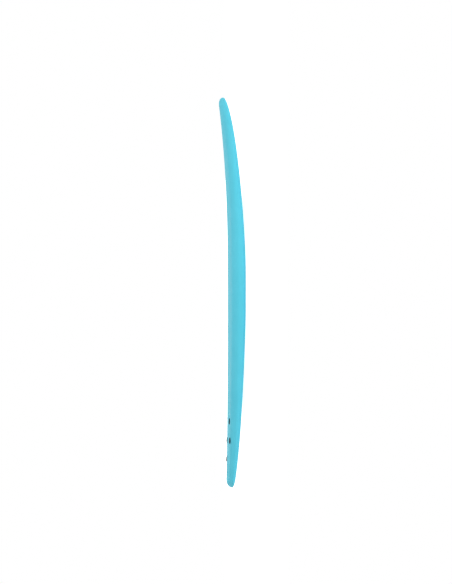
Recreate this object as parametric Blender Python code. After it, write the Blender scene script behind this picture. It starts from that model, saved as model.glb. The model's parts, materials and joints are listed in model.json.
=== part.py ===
"""Soft-top surfboard: a foam core with wooden stringers, foam and slick skins, fin bolts, leash plug.

Metres. +Y runs to the nose, +X to the starboard rail and +Z out of the deck. The origin is at
mid-length on the flat of the bottom, where the board rests. Every skin lies between two depths of
one lofted form, so that the core, the skins and their seams nest with the same clearance all over.
"""

from math import atan, cos, pi, radians, sin

import bmesh
import bpy
import numpy as np
from mathutils import Matrix

for leftover in list(bpy.data.objects):
    bpy.data.objects.remove(leftover)

# Clearance between pieces that touch
GAP = 0.0003

# Plan outline: nose tip, wide point, tail corner and tail end, joined by tangent curves
BOARD_LENGTH = 1.829
BOARD_WIDTH = 0.545
WIDE_POINT_Y = 0.030
NOSE_HANDLE = 0.150
FORE_HANDLE = 0.420
AFT_HANDLE = 0.330
TAIL_CORNER_HALF = 0.115
TAIL_CORNER_SETBACK = 0.0465
TAIL_CORNER_LEAN = radians(19.4)
CORNER_REACH = 0.286
CORNER_HANDLE = 0.030
TAIL_END_HANDLE = 0.060

# Bottom rocker: flat amidships, a power curve to each end and a steeper flip at each tip
FLAT_LENGTH = 0.160
NOSE_ROCKER = 0.072
NOSE_ROCKER_POWER = 1.68
NOSE_FLIP = 0.0173
NOSE_FLIP_POWER = 9.0
TAIL_ROCKER = 0.034
TAIL_ROCKER_POWER = 1.36
TAIL_FLIP = 0.0142
TAIL_FLIP_POWER = 5.0

# Deck line above the middle of the board, and its crown from rail to rail
MID_THICKNESS = 0.0753
DECK_NOSE_RISE = 0.0475
DECK_NOSE_POWER = 2.63
DECK_TAIL_RISE = 0.0085
DECK_TAIL_POWER = 2.5
DECK_CROWN = 0.014

# Rail section at the nose, amidships and at the tail
APEX_SHARE = (0.30, 0.43, 0.22)
TOP_ROLL = (0.040, 0.055, 0.035)
UNDER_ROLL = (0.015, 0.028, 0.030)
RAIL_CHANGE_POWER = 3.0
DECK_SEAM_ANGLE = radians(55)
BOTTOM_SEAM_ANGLE = radians(70)

# Skins and core
SKIN_THICKNESS = 0.005
SLICK_THICKNESS = 0.0012
STRINGER_OFFSET = 0.075
STRINGER_THICKNESS = 0.005

# Fin bolts: stations from the tail end, and the toe-in of the side fins
FIN_BOLT_SPACING = 0.089
CENTRE_FIN_REAR = 0.1305
SIDE_FIN_REAR = 0.2265
SIDE_FIN_FRONT_X = 0.125
SIDE_FIN_REAR_X = 0.131
SCREW_HEAD_RADIUS = 0.014
SCREW_HEAD_HEIGHT = 0.0036
SCREW_HEAD_EDGE = 0.0016
SCREW_RADIUS = 0.004
SCREW_LENGTH = 0.036
SCREW_TIP_CLEARANCE = 0.003
COIN_SLOT_WIDTH = 0.0024
COIN_SLOT_LENGTH = 0.018
COIN_SLOT_DEPTH = 0.0016
WASHER_RADIUS = 0.0145
WASHER_THICKNESS = 0.0012
WASHER_SEAT_DEPTH = 0.0022
SLEEVE_RADIUS = 0.009
NUT_FLANGE_RADIUS = 0.013
NUT_FLANGE_THICKNESS = 0.0022
NUT_RECESS = 0.0002
NUT_RADIUS = 0.007
NUT_LENGTH = 0.030
NUT_FLOOR = 0.004
EDGE_BREAK = 0.0006

# Leash plug: a cup in the deck, a pin across it, and a screw up into it from the bottom
LEASH_PLUG_SETBACK = 0.080
LEASH_LEAN_TO_DECK = 0.5
LEASH_SCREW_RECESS = 0.001
LEASH_FLANGE_RADIUS = 0.017
LEASH_FLANGE_THICKNESS = 0.002
LEASH_FLANGE_RECESS = 0.0008
LEASH_CUP_RADIUS = 0.0135
LEASH_CUP_WALL = 0.0025
LEASH_CUP_DEPTH = 0.016
LEASH_CUP_FLOOR = 0.0025
LEASH_BOSS_RADIUS = 0.0075
LEASH_BOSS_LENGTH = 0.009
LEASH_THREAD_LENGTH = 0.008
LEASH_PIN_RADIUS = 0.002
LEASH_PIN_DEPTH = 0.0045

# Facets: columns along the outline, rows across the board as shares of each zone, and round pieces
NOSE_STEPS = 11
SIDE_STEPS = 8
END_STEPS = 4
SPINE_SHARE = 0.86
DECK_SHARES = (0.0, 0.5)
UPPER_RAIL_SHARES = (0.62, 0.3, 0.0)
LOWER_RAIL_SHARES = (0.33, 0.67)
BOTTOM_SHARES = (1.0, 0.5, 0.0)
HEAD_SHARES = (0.0, 0.6, 1.0)
ROUND_STEPS = 16
OUTLINE_STEPS = 200
AXIS_PASSES = 8

TURQUOISE = (0.105, 0.565, 0.705)
SLICK_TURQUOISE = (0.115, 0.590, 0.725)
POLYSTYRENE_WHITE = (0.86, 0.87, 0.86)
PLYWOOD = (0.58, 0.42, 0.25)
FOAM_WHITE = (0.80, 0.82, 0.82)
NYLON_BLACK = (0.012, 0.012, 0.013)
RUBBER_BLACK = (0.018, 0.018, 0.018)
STEEL = (0.62, 0.62, 0.63)

HALF_LENGTH = BOARD_LENGTH / 2
DRILL_MARGIN = 0.012
SLOPE_STEP = 0.001


def finish(name, colour, roughness, metallic=0.0):
    """One Principled material for a kind of piece."""
    material = bpy.data.materials.new(name)
    material.use_nodes = True
    shader = material.node_tree.nodes["Principled BSDF"]
    shader.inputs["Base Color"].default_value = (*colour, 1.0)
    shader.inputs["Roughness"].default_value = roughness
    shader.inputs["Metallic"].default_value = metallic
    return material


def make_object(name, bm, material, parent=None, height=0.0, smooth_angle=radians(35)):
    """Turns a bmesh into a named object, on an axis empty where it has one."""
    mesh = bpy.data.meshes.new(name)
    bm.to_mesh(mesh)
    bm.free()
    mesh.shade_smooth()
    mesh.set_sharp_from_angle(angle=smooth_angle)
    piece = bpy.data.objects.new(name, mesh)
    bpy.context.scene.collection.objects.link(piece)
    piece.location = (0.0, 0.0, height)
    if parent is not None:
        piece.parent = parent
    if material is None:
        piece.hide_render = True
        piece.display_type = "WIRE"
    else:
        mesh.materials.append(material)
    return piece


def cut(piece, cutter):
    """Takes a cutter's volume out of a piece."""
    boolean = piece.modifiers.new(cutter.name, "BOOLEAN")
    boolean.operation = "DIFFERENCE"
    boolean.solver = "EXACT"
    boolean.object = cutter


def bezier(start, leave, arrive, end, steps):
    """Points of a cubic curve, its ends included."""
    t = np.linspace(0.0, 1.0, steps + 1)[:, None]
    s = 1.0 - t
    return start * s**3 + 3 * leave * t * s**2 + 3 * arrive * t**2 * s + end * t**3


def plan_outline(nose_steps, side_steps, end_steps):
    """Starboard outline from the nose tip to the middle of the tail."""
    nose = np.array([0.0, HALF_LENGTH])
    wide = np.array([BOARD_WIDTH / 2, WIDE_POINT_Y])
    corner = np.array([TAIL_CORNER_HALF, TAIL_CORNER_SETBACK - HALF_LENGTH])
    end = np.array([0.0, -HALF_LENGTH])
    outboard = np.array([1.0, 0.0])
    aft = np.array([0.0, -1.0])
    along_corner = np.array([-sin(TAIL_CORNER_LEAN), -cos(TAIL_CORNER_LEAN)])
    fore = bezier(nose, nose + NOSE_HANDLE * outboard, wide - FORE_HANDLE * aft, wide, nose_steps)
    side = bezier(wide, wide + AFT_HANDLE * aft, corner - CORNER_REACH * along_corner, corner, side_steps)
    leave_corner = corner + CORNER_HANDLE * along_corner
    tail = bezier(corner, leave_corner, end + TAIL_END_HANDLE * outboard, end, end_steps)
    return np.concatenate([fore, side[1:], tail[1:]])


FINE_OUTLINE = plan_outline(OUTLINE_STEPS, OUTLINE_STEPS, OUTLINE_STEPS)


def half_width(y):
    """Half the board's width at a station."""
    return np.interp(-y, -FINE_OUTLINE[:, 1], FINE_OUTLINE[:, 0])


def bottom_line(y):
    """Height of the bottom: the rocker."""
    run = np.clip((np.abs(y) - FLAT_LENGTH / 2) / (HALF_LENGTH - FLAT_LENGTH / 2), 0.0, None)
    nose = NOSE_ROCKER * run**NOSE_ROCKER_POWER + NOSE_FLIP * run**NOSE_FLIP_POWER
    tail = TAIL_ROCKER * run**TAIL_ROCKER_POWER + TAIL_FLIP * run**TAIL_FLIP_POWER
    return np.where(y > 0, nose, tail)


def deck_surface(x, y):
    """Height of the deck: its own line along the middle, less the crown towards the rails."""
    run = np.abs(y) / HALF_LENGTH
    nose = DECK_NOSE_RISE * run**DECK_NOSE_POWER
    tail = DECK_TAIL_RISE * run**DECK_TAIL_POWER
    across = x / np.maximum(half_width(y), GAP)
    return MID_THICKNESS + np.where(y > 0, nose, tail) - DECK_CROWN * across**2


def along_board(y, nose_mid_tail):
    """A rail size that changes from amidships towards each end."""
    nose, middle, tail = nose_mid_tail
    end = np.where(y > 0, nose, tail)
    return middle + (end - middle) * (np.abs(y) / HALF_LENGTH) ** RAIL_CHANGE_POWER


RIM = plan_outline(NOSE_STEPS, SIDE_STEPS, END_STEPS)
RIM_Y = RIM[:, 1]
SPINE = np.stack([np.zeros_like(RIM_Y), SPINE_SHARE * RIM_Y], axis=1)
REACH = np.linalg.norm(RIM - SPINE, axis=1)
RAY = (RIM - SPINE) / REACH[:, None]
TOP_RADIUS = along_board(RIM_Y, TOP_ROLL)
UNDER_RADIUS = along_board(RIM_Y, UNDER_ROLL)
RIM_DECK = deck_surface(np.zeros_like(RIM_Y), RIM_Y)
APEX = bottom_line(RIM_Y) + along_board(RIM_Y, APEX_SHARE) * (RIM_DECK - bottom_line(RIM_Y))


def plan_points(distance):
    """Plan points at a distance out from the spine along each ray."""
    plan = SPINE + distance[:, None] * RAY
    return plan[:, 0], plan[:, 1]


def deck_row(depth, share):
    """Lengthwise row under the deck, from the spine (0) to the start of the rail roll (1)."""
    x, y = plan_points(share * (REACH - TOP_RADIUS))
    return np.stack([x, y, deck_surface(x, y) - depth], axis=1)


def top_row(depth, angle):
    """Row round the upper rail: an elliptic roll from the rim (0) up to the deck (90 degrees)."""
    x, y = plan_points(REACH - TOP_RADIUS + (TOP_RADIUS - depth) * np.cos(angle))
    return np.stack([x, y, APEX + (deck_surface(x, y) - depth - APEX) * np.sin(angle)], axis=1)


def under_row(depth, angle):
    """Row round the lower rail: an elliptic tuck from the rim (0) down to the bottom (90 degrees)."""
    x, y = plan_points(REACH - UNDER_RADIUS + (UNDER_RADIUS - depth) * np.cos(angle))
    return np.stack([x, y, APEX - (APEX - bottom_line(y) - depth) * np.sin(angle)], axis=1)


def bottom_row(depth, share):
    """Lengthwise row over the bottom, from the spine (0) to the start of the tuck (1)."""
    x, y = plan_points(share * (REACH - UNDER_RADIUS))
    return np.stack([x, y, bottom_line(y) + depth], axis=1)


def deck_rows(depth):
    """Rows of the deck sheet, from the spine to its seam with the rail band."""
    seam = DECK_SEAM_ANGLE + GAP / 2 / TOP_RADIUS
    return [
        *(deck_row(depth, share) for share in DECK_SHARES),
        *(top_row(depth, angle) for angle in (pi / 2, (pi / 2 + DECK_SEAM_ANGLE) / 2, seam)),
    ]


def rail_rows(depth):
    """Rows of a rail band, from the deck seam round the rim to the bottom seam."""
    upper_seam = DECK_SEAM_ANGLE - GAP / 2 / TOP_RADIUS
    lower_seam = BOTTOM_SEAM_ANGLE - GAP / 2 / UNDER_RADIUS
    upper = (upper_seam, *(DECK_SEAM_ANGLE * share for share in UPPER_RAIL_SHARES))
    lower = (*(BOTTOM_SEAM_ANGLE * share for share in LOWER_RAIL_SHARES), lower_seam)
    return [*(top_row(depth, angle) for angle in upper), *(under_row(depth, angle) for angle in lower)]


def bottom_rows(depth):
    """Rows of a bottom sheet, from its seam with the rail band to the spine."""
    seam = BOTTOM_SEAM_ANGLE + GAP / 2 / UNDER_RADIUS
    return [
        under_row(depth, seam),
        *(bottom_row(depth, share) for share in BOTTOM_SHARES),
    ]


def add_grid(bm, rows):
    """Adds the faces of a grid of rows and returns its vertices, row by row."""
    grid = [[bm.verts.new(point) for point in row] for row in rows]
    for row, after in zip(grid, grid[1:]):
        add_strip(bm, row, after)
    return grid


def add_strip(bm, row, after):
    """Bridges two rows with triangles, split alike at every depth so that the layers nest.

    Each split runs out from the corner that is inboard and nearer the end of the board, so that no
    triangle lies in the board's middle plane.
    """
    row_is_inboard = sum(abs(v.co.x) for v in row) < sum(abs(v.co.x) for v in after)
    for a, b, c, d in zip(row, row[1:], after[1:], after):
        fore = a.co.y + b.co.y > 0
        if fore == row_is_inboard:
            bm.faces.new((a, b, c))
            bm.faces.new((a, c, d))
        else:
            bm.faces.new((a, b, d))
            bm.faces.new((b, c, d))


def mirror_to_port(bm):
    """Adds the port half and welds the two along the centreline."""
    bmesh.ops.mirror(bm, geom=bm.verts[:] + bm.edges[:] + bm.faces[:], merge_dist=GAP / 10, axis="X")
    bmesh.ops.recalc_face_normals(bm, faces=bm.faces[:])


def sheet(rows_at, outer, inner, seam):
    """A sheet right across the board, between two depths, with its edge wall at the seam row."""
    bm = bmesh.new()
    outside = add_grid(bm, rows_at(outer))
    inside = add_grid(bm, rows_at(inner))
    add_strip(bm, outside[seam], inside[seam])
    mirror_to_port(bm)
    return bm


def rail_band(side):
    """One rail's band, with butt ends half a clearance from the centreline."""
    bm = bmesh.new()
    walls = []
    for depth in (0.0, SKIN_THICKNESS):
        rows = np.array(rail_rows(depth))
        rows[:, :, 0] = side * np.maximum(rows[:, :, 0], GAP / 2)
        walls.append(add_grid(bm, rows))
    outside, inside = walls
    for seam in (0, -1):
        add_strip(bm, outside[seam], inside[seam])
    for end in (0, -1):
        add_strip(bm, [row[end] for row in outside], [row[end] for row in inside])
    bmesh.ops.recalc_face_normals(bm, faces=bm.faces[:])
    return bm


def core_strip(low, high):
    """The part of the whole core blank between two fore-and-aft planes."""
    depth = SKIN_THICKNESS + GAP
    bm = bmesh.new()
    add_grid(bm, [*deck_rows(depth), *rail_rows(depth)[1:-1], *bottom_rows(depth)])
    mirror_to_port(bm)
    for plane, outward in ((low, -1.0), (high, 1.0)):
        if plane is None:
            continue
        geometry = bm.verts[:] + bm.edges[:] + bm.faces[:]
        sawn = bmesh.ops.bisect_plane(
            bm, geom=geometry, plane_co=(plane, 0.0, 0.0), plane_no=(outward, 0.0, 0.0), clear_outer=True
        )
        rim = [element for element in sawn["geom_cut"] if isinstance(element, bmesh.types.BMEdge)]
        bmesh.ops.edgeloop_fill(bm, edges=rim)
    bmesh.ops.recalc_face_normals(bm, faces=bm.faces[:])
    return bm


def turned(profile, ring):
    """A profile of (radius, height) points spun round +Z; a ring's profile closes on itself.

    It starts half a facet round, so that no facet edge lies in the board's middle plane.
    """
    bm = bmesh.new()
    turn = pi / ROUND_STEPS
    points = [bm.verts.new((radius * cos(turn), radius * sin(turn), height)) for radius, height in profile]
    edges = [bm.edges.new(pair) for pair in zip(points, points[1:])]
    if ring:
        edges.append(bm.edges.new((points[-1], points[0])))
    bmesh.ops.spin(
        bm, geom=points + edges, cent=(0, 0, 0), axis=(0, 0, 1), angle=2 * pi, steps=ROUND_STEPS
    )
    bmesh.ops.remove_doubles(bm, verts=bm.verts[:], dist=GAP / 10)
    bmesh.ops.recalc_face_normals(bm, faces=bm.faces[:])
    return bm


def box(width, length, height):
    """A block centred on its own origin."""
    bm = bmesh.new()
    bmesh.ops.create_cube(bm, size=1.0, matrix=Matrix.Diagonal((width, length, height, 1.0)))
    return bm


def plumb_axis(name, x, y, lean_to_deck=0.0):
    """An empty on the bottom at (x, y), and the height of the deck up its +Z.

    Its +Z stands square to the bottom (0) or leans by a share towards square to the deck (1).
    """
    stations = np.array([y - SLOPE_STEP, y, y + SLOPE_STEP])
    aft, bottom, fore = bottom_line(stations)
    deck_aft, _, deck_fore = deck_surface(np.full(3, x), stations)
    bottom_tilt = atan((fore - aft) / (2 * SLOPE_STEP))
    deck_tilt = atan((deck_fore - deck_aft) / (2 * SLOPE_STEP))
    tilt = bottom_tilt + lean_to_deck * (deck_tilt - bottom_tilt)
    height = MID_THICKNESS
    for _ in range(AXIS_PASSES):
        at_y = np.array(y - height * sin(tilt))
        height = (deck_surface(np.array(x), at_y) - bottom) / cos(tilt)
    axis = bpy.data.objects.new(name, None)
    axis.location = (x, y, bottom)
    axis.rotation_euler = (tilt, 0.0, 0.0)
    bpy.context.scene.collection.objects.link(axis)
    return axis, float(height)


def drill(name, axis, steps):
    """A stepped cutter up an axis: each step is a radius and the height where it ends."""
    profile = [(0.0, -DRILL_MARGIN)]
    start = -DRILL_MARGIN
    for radius, end in steps:
        profile += [(radius, start), (radius, end)]
        start = end
    profile.append((0.0, start))
    return make_object(name, turned(profile, ring=False), None, axis)


def cross_rod(radius, half_length):
    """A rod lying across the board, centred on its own origin."""
    ends = [(0.0, half_length), (radius, half_length), (radius, -half_length), (0.0, -half_length)]
    rod = turned(ends, ring=False)
    bmesh.ops.rotate(rod, cent=(0, 0, 0), matrix=Matrix.Rotation(pi / 2, 3, "Y"), verts=rod.verts[:])
    return rod


def coin_slot(name, axis, height):
    """A cutter for a coin slot centred on a head's face."""
    block = box(COIN_SLOT_LENGTH, COIN_SLOT_WIDTH, 2 * COIN_SLOT_DEPTH)
    return make_object(name, block, None, axis, height)


foam_skin = finish("foam_skin", TURQUOISE, 0.62)
slick_skin = finish("slick_skin", SLICK_TURQUOISE, 0.28)
polystyrene = finish("polystyrene", POLYSTYRENE_WHITE, 0.85)
plywood = finish("plywood", PLYWOOD, 0.70)
backing_foam = finish("backing_foam", FOAM_WHITE, 0.80)
nylon = finish("nylon", NYLON_BLACK, 0.42)
rubber = finish("rubber", RUBBER_BLACK, 0.75)
steel = finish("steel", STEEL, 0.25, metallic=1.0)

# Core: the blank is ripped into three strips, with a stringer the full depth of the core in each cut
saw_inner = STRINGER_OFFSET - STRINGER_THICKNESS / 2
saw_outer = STRINGER_OFFSET + STRINGER_THICKNESS / 2
core_middle = make_object("core_middle", core_strip(GAP - saw_inner, saw_inner - GAP), polystyrene)
core_sides = {}
for side_name, side in (("port", -1), ("starboard", 1)):
    outboard = (saw_outer + GAP, None) if side > 0 else (None, -saw_outer - GAP)
    core_sides[side_name] = make_object(f"core_{side_name}", core_strip(*outboard), polystyrene)
    slab = sorted((side * saw_inner, side * saw_outer))
    make_object(f"stringer_{side_name}", core_strip(*slab), plywood)

# Skins
deck_skin = make_object("deck_skin", sheet(deck_rows, 0.0, SKIN_THICKNESS, -1), foam_skin)
bottom_skin = make_object("bottom_skin", sheet(bottom_rows, 0.0, SLICK_THICKNESS, 0), slick_skin)
backing_depth = SLICK_THICKNESS + GAP
bottom_foam = make_object("bottom_foam", sheet(bottom_rows, backing_depth, SKIN_THICKNESS, 0), backing_foam)
for side_name, side in (("port", -1), ("starboard", 1)):
    make_object(f"rail_skin_{side_name}", rail_band(side), foam_skin)


def screw_profile(length):
    """A low-domed head on a plain shank, from the crown down to the tip."""
    dome = SCREW_HEAD_HEIGHT - SCREW_HEAD_EDGE
    crown = [(SCREW_HEAD_RADIUS * share, SCREW_HEAD_EDGE + dome * (1 - share**2)) for share in HEAD_SHARES]
    return [
        *crown,
        (SCREW_HEAD_RADIUS, EDGE_BREAK),
        (SCREW_HEAD_RADIUS - EDGE_BREAK, 0.0),
        (SCREW_RADIUS, 0.0),
        (SCREW_RADIUS, -length),
        (0.0, -length),
    ]


def flange_profile(recess):
    """A bottom flange's face and rim, let in by its recess, up to its inner face."""
    return [
        (0.0, recess),
        (NUT_FLANGE_RADIUS - EDGE_BREAK, recess),
        (NUT_FLANGE_RADIUS, recess + EDGE_BREAK),
        (NUT_FLANGE_RADIUS, recess + NUT_FLANGE_THICKNESS),
    ]


def fin_bolt(place, core, x, y):
    """Sleeve, barrel nut, washer and screw on one axis, and the stepped hole through the board."""
    axis, deck = plumb_axis(f"fin_axis_{place}", x, y)
    seat = deck - WASHER_SEAT_DEPTH
    flange_top = NUT_RECESS + NUT_FLANGE_THICKNESS
    hole = drill(f"fin_drill_{place}", axis, (
        (NUT_FLANGE_RADIUS + GAP, flange_top + GAP),
        (SLEEVE_RADIUS + GAP, seat),
        (WASHER_RADIUS + GAP, deck + DRILL_MARGIN),
    ))
    for layer in (deck_skin, bottom_skin, bottom_foam, core):
        cut(layer, hole)

    bore = NUT_RADIUS + GAP
    sleeve_foot = flange_top + GAP
    tube = [(bore, sleeve_foot), (SLEEVE_RADIUS, sleeve_foot), (SLEEVE_RADIUS, seat), (bore, seat)]
    make_object(f"fin_sleeve_{place}", turned(tube, ring=True), nylon, axis)

    barrel = [
        *flange_profile(NUT_RECESS),
        (NUT_RADIUS, flange_top),
        (NUT_RADIUS, NUT_LENGTH),
        (SCREW_RADIUS + GAP, NUT_LENGTH),
        (SCREW_RADIUS + GAP, NUT_FLOOR),
        (0.0, NUT_FLOOR),
    ]
    nut = make_object(f"fin_nut_{place}", turned(barrel, ring=False), nylon, axis)
    cut(nut, coin_slot(f"nut_slot_{place}", axis, NUT_RECESS))

    washer_hole = SCREW_RADIUS + GAP
    disc = [
        (washer_hole, 0.0),
        (WASHER_RADIUS, 0.0),
        (WASHER_RADIUS, WASHER_THICKNESS),
        (washer_hole, WASHER_THICKNESS),
    ]
    make_object(f"fin_washer_{place}", turned(disc, ring=True), rubber, axis, seat + GAP)

    # The screw is cut short where the board is too thin for it
    head_seat = seat + GAP + WASHER_THICKNESS + GAP
    length = min(SCREW_LENGTH, head_seat - NUT_FLOOR - SCREW_TIP_CLEARANCE)
    body = turned(screw_profile(length), ring=False)
    screw = make_object(f"fin_screw_{place}", body, nylon, axis, head_seat)
    cut(screw, coin_slot(f"screw_slot_{place}", axis, head_seat + SCREW_HEAD_HEIGHT))


def leash_plug():
    """Cup, cross pin and through screw on one axis by the tail, and their stepped hole."""
    axis, deck = plumb_axis("leash_axis", 0.0, LEASH_PLUG_SETBACK - HALF_LENGTH, LEASH_LEAN_TO_DECK)
    seat = deck - LEASH_FLANGE_RECESS - LEASH_FLANGE_THICKNESS - GAP
    flange_top = LEASH_SCREW_RECESS + NUT_FLANGE_THICKNESS
    mouth = seat + GAP + LEASH_FLANGE_THICKNESS
    floor = mouth - LEASH_CUP_DEPTH
    cup_foot = floor - LEASH_CUP_FLOOR
    boss_foot = cup_foot - LEASH_BOSS_LENGTH
    hole = drill("leash_drill", axis, (
        (NUT_FLANGE_RADIUS + GAP, flange_top + GAP),
        (LEASH_BOSS_RADIUS + GAP, cup_foot - GAP),
        (LEASH_CUP_RADIUS + GAP, seat),
        (LEASH_FLANGE_RADIUS + GAP, deck + DRILL_MARGIN),
    ))
    for layer in (deck_skin, bottom_skin, bottom_foam, core_middle):
        cut(layer, hole)

    bore = LEASH_CUP_RADIUS - LEASH_CUP_WALL
    thread = SCREW_RADIUS + GAP
    cup = [
        (0.0, floor),
        (bore, floor),
        (bore, mouth - EDGE_BREAK),
        (bore + EDGE_BREAK, mouth),
        (LEASH_FLANGE_RADIUS - EDGE_BREAK, mouth),
        (LEASH_FLANGE_RADIUS, mouth - EDGE_BREAK),
        (LEASH_FLANGE_RADIUS, seat + GAP),
        (LEASH_CUP_RADIUS, seat + GAP),
        (LEASH_CUP_RADIUS, cup_foot),
        (LEASH_BOSS_RADIUS, cup_foot),
        (LEASH_BOSS_RADIUS, boss_foot),
        (thread, boss_foot),
        (thread, boss_foot + LEASH_THREAD_LENGTH),
        (0.0, boss_foot + LEASH_THREAD_LENGTH),
    ]
    leash_cup = make_object("leash_cup", turned(cup, ring=False), nylon, axis)

    pin_height = mouth - LEASH_PIN_DEPTH
    pin = cross_rod(LEASH_PIN_RADIUS, LEASH_CUP_RADIUS - GAP)
    make_object("leash_pin", pin, steel, axis, pin_height)
    pin_hole = cross_rod(LEASH_PIN_RADIUS + GAP, LEASH_CUP_RADIUS + GAP)
    cut(leash_cup, make_object("pin_drill", pin_hole, None, axis, pin_height))

    shank_end = boss_foot + LEASH_THREAD_LENGTH - GAP
    screw = [
        *flange_profile(LEASH_SCREW_RECESS),
        (SCREW_RADIUS, flange_top),
        (SCREW_RADIUS, shank_end),
        (0.0, shank_end),
    ]
    leash_screw = make_object("leash_screw", turned(screw, ring=False), nylon, axis)
    cut(leash_screw, coin_slot("leash_slot", axis, LEASH_SCREW_RECESS))


# Fin bolts, a pair for each fin
tail_end = -HALF_LENGTH
for side_name, side in (("port", -1), ("starboard", 1)):
    rear = tail_end + SIDE_FIN_REAR
    fin_bolt(f"{side_name}_rear", core_sides[side_name], side * SIDE_FIN_REAR_X, rear)
    fin_bolt(f"{side_name}_front", core_sides[side_name], side * SIDE_FIN_FRONT_X, rear + FIN_BOLT_SPACING)
fin_bolt("centre_rear", core_middle, 0.0, tail_end + CENTRE_FIN_REAR)
fin_bolt("centre_front", core_middle, 0.0, tail_end + CENTRE_FIN_REAR + FIN_BOLT_SPACING)
leash_plug()
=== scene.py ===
"""Soft-top surfboard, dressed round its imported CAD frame.

Metres. +Y runs to the nose, +X to the starboard rail and +Z out of the deck; the board lies on z = 0.
"""

import json
from math import cos, pi, radians, sin, sqrt

import bmesh
import bpy
import numpy as np
from mathutils import Matrix, Vector

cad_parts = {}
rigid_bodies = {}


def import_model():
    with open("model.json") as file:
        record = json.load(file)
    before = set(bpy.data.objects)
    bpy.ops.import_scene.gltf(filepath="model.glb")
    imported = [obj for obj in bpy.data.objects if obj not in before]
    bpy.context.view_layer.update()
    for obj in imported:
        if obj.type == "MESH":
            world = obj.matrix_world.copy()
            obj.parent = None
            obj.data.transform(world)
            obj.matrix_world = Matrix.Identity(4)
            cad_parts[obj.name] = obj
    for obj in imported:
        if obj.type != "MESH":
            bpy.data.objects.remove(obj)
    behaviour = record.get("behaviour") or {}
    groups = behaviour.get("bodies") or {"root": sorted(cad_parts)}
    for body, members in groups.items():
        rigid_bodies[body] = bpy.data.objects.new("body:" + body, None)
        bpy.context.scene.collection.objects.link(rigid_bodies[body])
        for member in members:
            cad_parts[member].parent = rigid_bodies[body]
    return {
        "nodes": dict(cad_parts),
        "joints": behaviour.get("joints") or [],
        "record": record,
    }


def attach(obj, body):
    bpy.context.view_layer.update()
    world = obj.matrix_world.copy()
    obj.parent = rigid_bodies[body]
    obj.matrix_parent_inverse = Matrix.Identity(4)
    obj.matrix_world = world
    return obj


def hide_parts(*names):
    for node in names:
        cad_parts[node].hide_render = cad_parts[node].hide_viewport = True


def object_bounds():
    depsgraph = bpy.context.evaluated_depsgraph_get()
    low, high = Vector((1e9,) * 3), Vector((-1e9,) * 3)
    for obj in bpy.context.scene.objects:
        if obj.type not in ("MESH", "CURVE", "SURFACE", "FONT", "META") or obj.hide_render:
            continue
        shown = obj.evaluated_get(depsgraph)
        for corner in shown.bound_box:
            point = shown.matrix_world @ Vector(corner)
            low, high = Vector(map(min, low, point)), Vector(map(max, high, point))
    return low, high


for leftover in list(bpy.data.objects):
    bpy.data.objects.remove(leftover)
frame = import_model()
cad_low, cad_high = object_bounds()
nodes = frame["nodes"]
record = frame["record"]


# Core: three strips of expanded polystyrene, moulded from white beads a few millimetres across.
# One blank is sawn lengthwise and glued back together round the stringers, then sealed by the skins.

BEAD_SIZE = 0.0038
BEAD_WHITE = (0.88, 0.89, 0.88, 1.0)
BEAD_PAINTED_SHADE = (0.76, 0.78, 0.78, 1.0)


def add_node(tree, kind, inputs, **settings):
    """One shader node; an input given another node's output is linked to it."""
    made = tree.nodes.new(kind)
    for name, value in settings.items():
        setattr(made, name, value)
    for name, value in inputs.items():
        if isinstance(value, bpy.types.NodeSocket):
            tree.links.new(value, made.inputs[name])
        else:
            made.inputs[name].default_value = value
    return made


def new_finish(name, fixed):
    """A Principled material with its even values set: it, its tree, its shader and Object coordinates."""
    made = bpy.data.materials.new(name)
    made.use_nodes = True
    tree = made.node_tree
    shader = tree.nodes["Principled BSDF"]
    for socket, value in fixed.items():
        shader.inputs[socket].default_value = value
    place = add_node(tree, "ShaderNodeTexCoord", {}).outputs["Object"]
    return made, tree, shader, place


def noise(tree, place, size, detail=3.0):
    """Soft noise whose patches are about one size across."""
    inputs = {"Vector": place, "Scale": 1 / size, "Detail": detail}
    return add_node(tree, "ShaderNodeTexNoise", inputs).outputs["Fac"]


def cells(tree, place, size):
    """Distance from the middle of packed cells about one size across."""
    return add_node(tree, "ShaderNodeTexVoronoi", {"Vector": place, "Scale": 1 / size}).outputs["Distance"]


def stretched(tree, place, along):
    """Coordinates drawn out along the axes whose share is small."""
    return add_node(tree, "ShaderNodeMapping", {"Vector": place, "Scale": along}).outputs["Vector"]


def ranged(tree, value, low, high, to_low, to_high):
    """A value carried from one range to another and held at its ends."""
    ends = {"Value": value, "From Min": low, "From Max": high, "To Min": to_low, "To Max": to_high}
    return add_node(tree, "ShaderNodeMapRange", ends).outputs["Result"]


def blended(tree, share, first, second):
    """One colour turning into another by a share."""
    return add_node(tree, "ShaderNodeMix", {0: share, 6: first, 7: second}, data_type="RGBA").outputs[2]


def relief(tree, shader, layers):
    """Stacks height patterns, each with its depth in metres, into the shader's normal."""
    normal = None
    for height, depth in layers:
        inputs = {"Height": height, "Distance": depth}
        if normal is not None:
            inputs["Normal"] = normal
        normal = add_node(tree, "ShaderNodeBump", inputs).outputs["Normal"]
    tree.links.new(normal, shader.inputs["Normal"])


def feed(tree, shader, socket, value):
    """Drives one of the shader's sockets."""
    tree.links.new(value, shader.inputs[socket])


def dress(name, finish):
    """Gives a CAD node its finish."""
    nodes[name].material_slots[0].material = finish


def bead_foam():
    """White beads pressed together, with painted shade where they meet."""
    finish, tree, shader, place = new_finish("bead_foam", {"Roughness": 0.85, "Specular IOR Level": 0.2})
    bead = cells(tree, place, BEAD_SIZE)
    # Painted shade: each bead is coloured darker towards where it meets its neighbours.
    edge = ranged(tree, bead, 0.3, 0.7, 0.0, 1.0)
    feed(tree, shader, "Base Color", blended(tree, edge, BEAD_WHITE, BEAD_PAINTED_SHADE))
    relief(tree, shader, [(ranged(tree, bead, 0.2, 0.7, 1.0, 0.0), 0.0006)])
    return finish


core_foam = bead_foam()
for strip in ("port", "middle", "starboard"):
    dress(f"core_{strip}", core_foam)


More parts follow.
